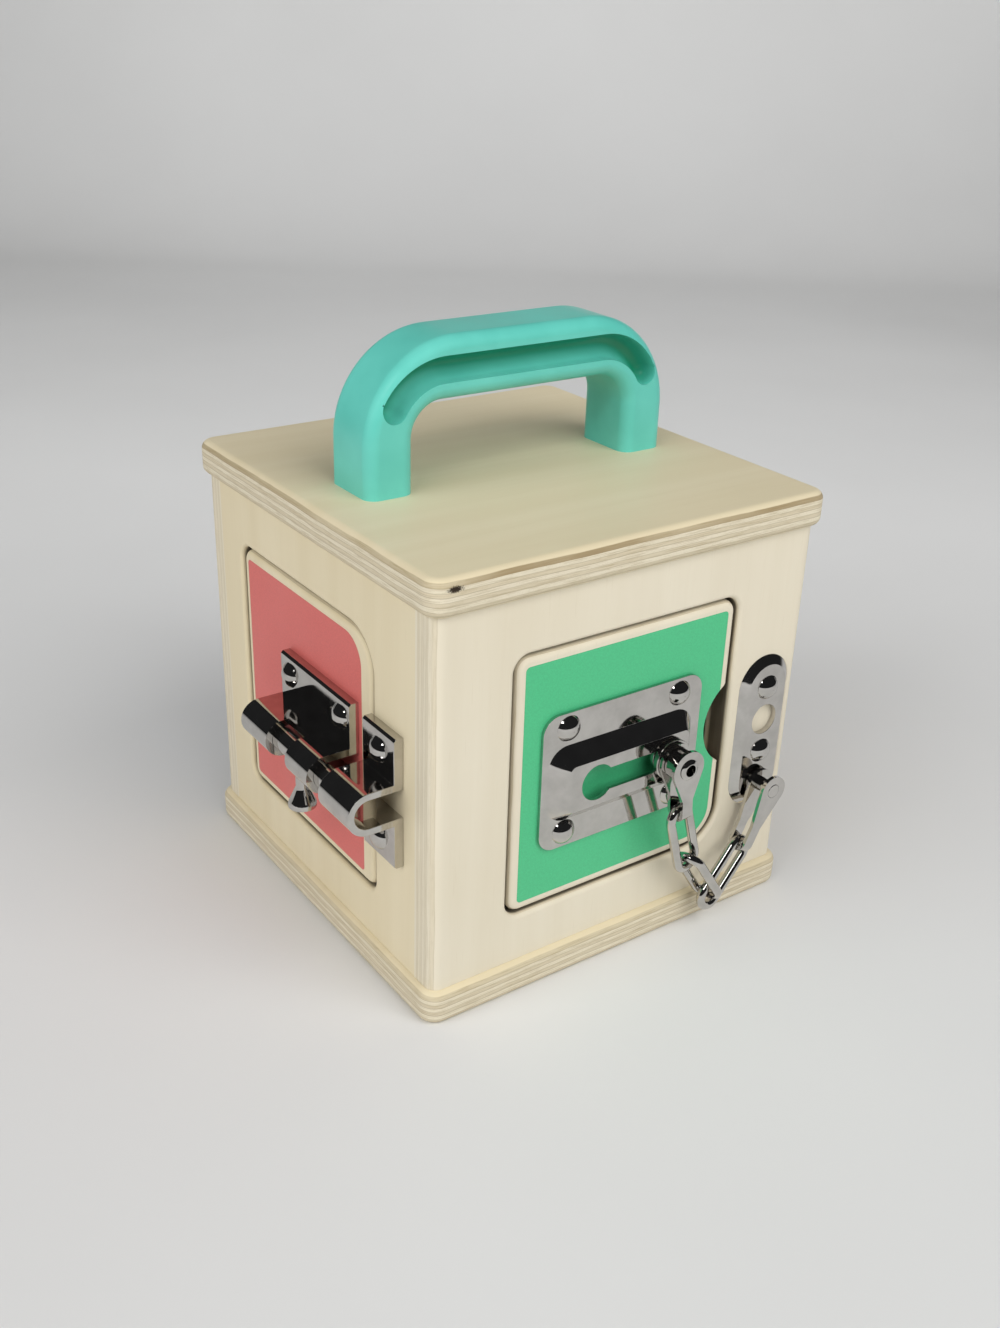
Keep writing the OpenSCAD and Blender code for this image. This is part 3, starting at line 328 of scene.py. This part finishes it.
def satinAbs():
    look = handleLook
    material, tree, shader = newMaterial("satinTealAbs", IOR=look["ior"])
    place = addNode(tree, "ShaderNodeTexCoord").outputs["Object"]
    cloud = addNode(tree, "ShaderNodeTexNoise", {
        "Vector": place, "Scale": 1 / (look["cloudMm"] * mm), "Detail": 4.0})
    pebble = addNode(tree, "ShaderNodeTexNoise", {
        "Vector": place, "Scale": 1 / (look["textureMm"] * mm), "Detail": 2.0})
    shadeAt, colourAt = look["levels"]
    tone = addNode(tree, "ShaderNodeValToRGB", {0: cloud.outputs[0]}, stops=[
        (shadeAt, look["shade"]), (colourAt, look["colour"])])
    # Painted shade: the groove's colour goes deep green under its upper lip, where the lip's shadow
    # falls
    shadeShare = addNode(tree, "ShaderNodeAttribute", attribute_name="hollow")
    tone = addNode(tree, "ShaderNodeMix", {
        0: shadeShare.outputs["Fac"], 6: tone.outputs[0], 7: hexColour(look["hollow"])}, data_type="RGBA")
    rough = addNode(tree, "ShaderNodeMapRange", {
        "Value": cloud.outputs[0], "From Min": noiseLow, "From Max": noiseHigh,
        "To Min": look["roughness"] - look["glossier"],
        "To Max": look["roughness"] + look["duller"]})
    bump = addNode(tree, "ShaderNodeBump", {
        "Strength": look["reliefShow"], "Distance": look["reliefMm"] * mm,
        "Height": pebble.outputs[0]})
    joinShader(tree, shader, Base_Color=tone.outputs[2], Roughness=rough.outputs[0],
               Normal=bump.outputs[0])
    return material


teal = satinAbs()
dress(teal, "carry_handle")


# Door facings: coloured melamine sheet, satin, with a faint print fleck and a stipple that is drawn
# coarser than it is, so that it shows
facingLook = {
    "green": "#4fc489", "red": "#da6e68", "yellow": "#e2b24a", "blue": "#5a86c8",
    "mottle": 0.05, "levels": (0.35, 0.65), "ior": 1.52, "roughness": 0.44, "roughSpan": 0.06,
    "cloudMm": 40.0, "stippleMm": 0.45, "reliefMm": 0.04, "reliefShow": 0.15,
}


def melamine(name, colour):
    look = facingLook
    material, tree, shader = newMaterial("melamine" + name.capitalize(), IOR=look["ior"])
    place = addNode(tree, "ShaderNodeTexCoord").outputs["Object"]
    stipple = addNode(tree, "ShaderNodeTexNoise", {
        "Vector": place, "Scale": 1 / (look["stippleMm"] * mm), "Detail": 3.0})
    cloud = addNode(tree, "ShaderNodeTexNoise", {
        "Vector": place, "Scale": 1 / (look["cloudMm"] * mm), "Detail": 3.0})
    base = hexColour(colour)[:3]
    lighter = tuple(min(1.0, c * (1 + look["mottle"])) for c in base) + (1.0,)
    darker = tuple(c * (1 - look["mottle"]) for c in base) + (1.0,)
    darkAt, lightAt = look["levels"]
    mottle = addNode(tree, "ShaderNodeMapRange", {
        "Value": stipple.outputs[0], "From Min": darkAt, "From Max": lightAt})
    tone = addNode(tree, "ShaderNodeMix", {
        0: mottle.outputs[0], 6: darker, 7: lighter}, data_type="RGBA")
    rough = addNode(tree, "ShaderNodeMapRange", {
        "Value": cloud.outputs[0], "From Min": noiseLow, "From Max": noiseHigh,
        "To Min": look["roughness"] - look["roughSpan"],
        "To Max": look["roughness"] + look["roughSpan"]})
    bump = addNode(tree, "ShaderNodeBump", {
        "Strength": look["reliefShow"], "Distance": look["reliefMm"] * mm,
        "Height": stipple.outputs[0]})
    joinShader(tree, shader, Base_Color=tone.outputs[2], Roughness=rough.outputs[0],
               Normal=bump.outputs[0])
    return material


for door, colour in (("front", "green"), ("left", "red"), ("right", "yellow"), ("back", "blue")):
    dress(melamine(colour, facingLook[colour]), door + "_door_facing")
print("handle and facings done")


# Bright nickel plate over pressed steel: a dark mirror with soft smears. The hairline scratches are
# drawn wider than they are, so that they show.
nickelLook = {
    "colour": "#cecbc7", "smear": "#bfbcb8", "levels": (0.35, 0.65), "smearMm": 7.6923,
    "roughLow": 0.035, "roughHigh": 0.10, "roughLevels": (0.35, 0.7),
    "scratchMm": 0.6, "scratchTurn": (0.4, 0.7, 0.9), "scratchStretch": 0.04,
    "reliefMm": 0.02, "reliefShow": 0.05,
}


def brightNickel():
    look = nickelLook
    material, tree, shader = newMaterial("brightNickel", Metallic=1.0)
    place = addNode(tree, "ShaderNodeTexCoord").outputs["Object"]
    smear = addNode(tree, "ShaderNodeTexNoise", {
        "Vector": place, "Scale": 1 / (look["smearMm"] * mm), "Detail": 5.0, "Roughness": 0.6})
    turned = addNode(tree, "ShaderNodeMapping", {
        "Vector": place, "Rotation": look["scratchTurn"],
        "Scale": [1.0, look["scratchStretch"], 1.0]})
    scratch = addNode(tree, "ShaderNodeTexNoise", {
        "Vector": turned.outputs[0], "Scale": 1 / (look["scratchMm"] * mm), "Detail": 3.0})
    smearAt, colourAt = look["levels"]
    tone = addNode(tree, "ShaderNodeValToRGB", {0: smear.outputs[0]}, stops=[
        (smearAt, look["smear"]), (colourAt, look["colour"])])
    brightAt, dullAt = look["roughLevels"]
    rough = addNode(tree, "ShaderNodeMapRange", {
        "Value": smear.outputs[0], "From Min": brightAt, "From Max": dullAt,
        "To Min": look["roughLow"], "To Max": look["roughHigh"]})
    bump = addNode(tree, "ShaderNodeBump", {
        "Strength": look["reliefShow"], "Distance": look["reliefMm"] * mm,
        "Height": scratch.outputs[0]})
    joinShader(tree, shader, Base_Color=tone.outputs[0], Roughness=rough.outputs[0],
               Normal=bump.outputs[0])
    return material


nickel = brightNickel()
dress(nickel, "track_plate", "track_rivets", "slider_stud", "slider_strap",
      "upper_link", "lower_link", "side_link",
      "anchor_strap", "anchor_stud", "anchor_plate", "anchor_rivets",
      "bolt_plate", "bolt_plate_rivets", "bolt_rod", "bolt_knob", "bolt_keeper", "keeper_rivets",
      "hook", "hook_eye", "door_eye", "turn_button", "button_screw")


# Zinc plated steel for the pins and screws, a dull blue grey; turned brass for the inserts, a soft
# yellow. Both gleam a little unevenly.
zincLook = {"colour": "#b9bcc0", "roughness": 0.34}
brassLook = {"colour": "#c9a14d", "roughness": 0.3}
turnedLook = {"grainMm": 0.8, "duller": 0.1, "glossier": 0.08}


def turnedMetal(name, colour, roughness):
    look = turnedLook
    material, tree, shader = newMaterial(name, Metallic=1.0, Base_Color=hexColour(colour))
    place = addNode(tree, "ShaderNodeTexCoord").outputs["Object"]
    fine = addNode(tree, "ShaderNodeTexNoise", {
        "Vector": place, "Scale": 1 / (look["grainMm"] * mm), "Detail": 3.0})
    rough = addNode(tree, "ShaderNodeMapRange", {
        "Value": fine.outputs[0],
        "To Min": roughness - look["glossier"], "To Max": roughness + look["duller"]})
    joinShader(tree, shader, Roughness=rough.outputs[0])
    return material


dress(turnedMetal("zincPlatedSteel", **zincLook), "front_door_pins", "left_door_pins",
      "right_door_pins", "back_door_pins", "handle_screws")
dress(turnedMetal("turnedBrass", **brassLook), "handle_inserts")
print("metals done")


# Pressed and cut hardware has its sharp edges broken, so that they catch the light; widths in mm
edgeBreak = {
    "track_plate": 0.7, "slider_strap": 0.3, "anchor_strap": 0.3, "slider_stud": 0.25,
    "anchor_stud": 0.25, "anchor_plate": 0.7, "bolt_plate": 0.5, "bolt_keeper": 0.5,
    "bolt_knob": 0.35, "turn_button": 0.5, "bolt_rod": 0.2,
}
softLook = {"mergeMm": 0.002, "flatAngle": math.radians(0.6), "sharpAngle": math.radians(26),
            "segments": 3, "faceWeight": 80}


def isSharp(edge):
    return len(edge.link_faces) == 2 and edge.calc_face_angle(0) > softLook["sharpAngle"]


def softCopy(name, width, material, reshape=None):
    look = softLook
    mesh = nodes[name].data.copy()
    mesh.name = name + "_soft"
    bm = bmesh.new()
    bm.from_mesh(mesh)
    bmesh.ops.remove_doubles(bm, verts=bm.verts, dist=look["mergeMm"] * mm)
    if reshape:
        reshape(bm)
    bmesh.ops.dissolve_limit(bm, angle_limit=look["flatAngle"], verts=bm.verts, edges=bm.edges)
    sharp = [e for e in bm.edges if isSharp(e)]
    if width:
        bmesh.ops.bevel(bm, geom=sharp, offset=width * mm, offset_type="OFFSET", affect="EDGES",
                        segments=look["segments"], profile=0.5, material=-1, clamp_overlap=True)
    else:
        for e in sharp:
            e.smooth = False
    bmesh.ops.triangulate(bm, faces=[f for f in bm.faces if len(f.verts) > 4])
    for f in bm.faces:
        f.smooth = True
    bm.to_mesh(mesh)
    bm.free()
    mesh.materials.clear()
    mesh.materials.append(material)
    piece = bpy.data.objects.new(name + "_soft", mesh)
    bpy.context.scene.collection.objects.link(piece)
    # Large faces keep their own normal, so that they shade flat up to a broken edge
    level = piece.modifiers.new("levelFaces", "WEIGHTED_NORMAL")
    level.weight = look["faceWeight"]
    level.keep_sharp = True
    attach(piece, nodes[name]["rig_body"])
    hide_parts(name)


for name, width in edgeBreak.items():
    softCopy(name, width, nickel)

# The moulded groove in the handle has steeper walls and a deeper floor than a round cutter leaves.
# It runs level along the top of the arch and on round each bend; lengths in mm, turn in degrees.
grooveLook = {
    "depth": 7.5, "cutDepth": 4.2, "halfWidth": 4.3, "halfRun": 31.0, "bend": 21.0,
    "centreHeight": 169.0, "turn": 60, "steepness": 0.55, "rim": 0.01, "skin": 0.02,
}


def deepGroove(bm):
    look = grooveLook
    side = max(abs(v.co.y) for v in bm.verts)
    lastAngle = math.radians(90 - look["turn"])
    hollow = bm.verts.layers.float.new("hollow")
    rim = {v for e in bm.edges if isSharp(e) for v in e.verts}
    for v in bm.verts:
        across = max(abs(v.co.x) / mm - look["halfRun"], 0.0)
        rise = v.co.z / mm - look["centreHeight"]
        if rise < 0:
            continue
        angle = max(math.atan2(rise, across), lastAngle)
        off = math.hypot(across - look["bend"] * math.cos(angle),
                         rise - look["bend"] * math.sin(angle))
        cut = (side - abs(v.co.y)) / mm
        if off < look["halfWidth"] - look["rim"] and cut > look["skin"] and v not in rim:
            share = min(cut / look["cutDepth"], 1.0) ** look["steepness"]
            v.co.y = math.copysign(side - look["depth"] * share * mm, v.co.y)
            # Painted shade: each vertex in the groove gets a share of the deep green, more where it
            # lies deeper and nearer the upper lip
            height = (math.hypot(across, rise) - look["bend"]) / look["halfWidth"]
            v[hollow] = share * min(1.0, max(0.0, 1.0 + height))


softCopy("carry_handle", 0, teal, deepGroove)
print("hardware edges and handle groove done")


# Matt off-white paper, as a floor that sweeps up into a low plain backdrop, square to the camera and
# well away from the box; metres and degrees
sweepLook = {
    "light": "#e7e7e6", "deep": "#e1e1e0", "levels": (0.3, 0.7), "roughness": 0.8,
    "cloudMm": 333.333, "front": -2.2, "back": 1.15, "half": 2.6, "rise": 0.25, "bend": 0.3,
    "steps": 16, "turn": -35.66,
}


def paleSweep():
    look = sweepLook
    half, front, back, bend = (look[k] for k in ("half", "front", "back", "bend"))
    material, tree, shader = newMaterial("palePaper", Roughness=look["roughness"])
    place = addNode(tree, "ShaderNodeTexCoord").outputs["Object"]
    cloud = addNode(tree, "ShaderNodeTexNoise", {
        "Vector": place, "Scale": 1 / (look["cloudMm"] * mm), "Detail": 3.0})
    deepAt, lightAt = look["levels"]
    tone = addNode(tree, "ShaderNodeValToRGB", {0: cloud.outputs[0]}, stops=[
        (deepAt, look["deep"]), (lightAt, look["light"])])
    joinShader(tree, shader, Base_Color=tone.outputs[0])
    bm = bmesh.new()
    bm.faces.new([bm.verts.new((x, y, 0)) for x, y in (
        (-half, front), (half, front), (half, back), (-half, back))])
    edge = [e for e in bm.edges if all(abs(v.co.y - back) < 1e-6 for v in e.verts)]
    bmesh.ops.spin(bm, geom=edge, cent=(0, back, bend), axis=(1, 0, 0),
                   angle=math.radians(90), steps=look["steps"])
    last = [e for e in bm.edges if all(abs(v.co.z - bend) < 1e-4 for v in e.verts)]
    grown = bmesh.ops.extrude_edge_only(bm, edges=last)["geom"]
    bmesh.ops.translate(bm, verts=[g for g in grown if isinstance(g, bmesh.types.BMVert)],
                        vec=(0, 0, look["rise"]))
    bmesh.ops.rotate(bm, verts=bm.verts, cent=(0, 0, 0),
                     matrix=Matrix.Rotation(math.radians(look["turn"]), 3, "Z"))
    mesh = bpy.data.meshes.new("paleSweep")
    bm.to_mesh(mesh)
    bm.free()
    mesh.materials.append(material)
    for polygon in mesh.polygons:
        polygon.use_smooth = True
    piece = bpy.data.objects.new("paleSweep", mesh)
    bpy.context.scene.collection.objects.link(piece)


paleSweep()


# Soft boxes: size in metres, power in watts. Only the glint box is mirrored in the metal, so its
# upper surfaces stay dark, as in the photograph.
lights = {
    "keyBox": {"at": (0.18, -1.08, 0.97), "to": (0, 0, 0.08), "size": 1.3, "power": 16.0},
    "glintBox": {"at": (-0.75, -0.55, 0.95), "to": (0, 0, 0.08), "size": 0.25, "power": 1.2,
                 "mirrored": True},
    "fillBox": {"at": (-1.3, -0.15, 0.7), "to": (0, 0, 0.08), "size": 1.1, "power": 10.8},
    "topBox": {"at": (-0.25, 0.0, 1.5), "to": (0, 0.1, 0), "size": 1.2, "power": 2.2},
    "wallBox": {"at": (0.36, 0.5, 0.95), "to": (0.84, 1.18, 0.3), "size": 1.5, "power": 4.9},
}
for name, look in lights.items():
    lamp = bpy.data.lights.new(name, "AREA")
    lamp.size = look["size"]
    lamp.energy = look["power"]
    holder = bpy.data.objects.new(name, lamp)
    holder.location = look["at"]
    aim = Vector(look["to"]) - Vector(look["at"])
    holder.rotation_euler = aim.to_track_quat("-Z", "Y").to_euler()
    holder.visible_glossy = look.get("mirrored", False)
    bpy.context.scene.collection.objects.link(holder)

surround = {"colour": "#c8cacf", "strength": 0.035}
world = bpy.data.worlds.new("dimStudio")
world.use_nodes = True
background = world.node_tree.nodes["Background"]
background.inputs["Color"].default_value = hexColour(surround["colour"])
background.inputs["Strength"].default_value = surround["strength"]
bpy.context.scene.world = world


# The photograph's camera: stands in front to the left, looks down, tilted a little
cameraLook = {"at": (-0.26092, -0.36568, 0.29684), "turn": 35.658, "down": 26.079, "roll": 1.859,
              "focalPixels": 1394.59, "tallPixels": 1328, "sensor": 36.0, "near": 0.01}


def photoCamera():
    look = cameraLook
    turn, down, roll = (math.radians(look[k]) for k in ("turn", "down", "roll"))
    ahead = Vector((math.sin(turn) * math.cos(down), math.cos(turn) * math.cos(down),
                    -math.sin(down)))
    level = Vector((math.cos(turn), -math.sin(turn), 0))
    upright = level.cross(ahead)
    right = math.cos(roll) * level + math.sin(roll) * upright
    up = math.cos(roll) * upright - math.sin(roll) * level
    lens = bpy.data.cameras.new("photoCamera")
    lens.sensor_width = look["sensor"]
    lens.lens = look["focalPixels"] * look["sensor"] / look["tallPixels"]
    lens.clip_start = look["near"]
    camera = bpy.data.objects.new("photoCamera", lens)
    facing = Matrix((right, up, -ahead)).transposed().to_4x4()
    camera.matrix_world = Matrix.Translation(look["at"]) @ facing
    bpy.context.scene.collection.objects.link(camera)
    bpy.context.scene.camera = camera


photoCamera()
bpy.context.scene.view_settings.view_transform = "Standard"
print("stage, lights and camera done")
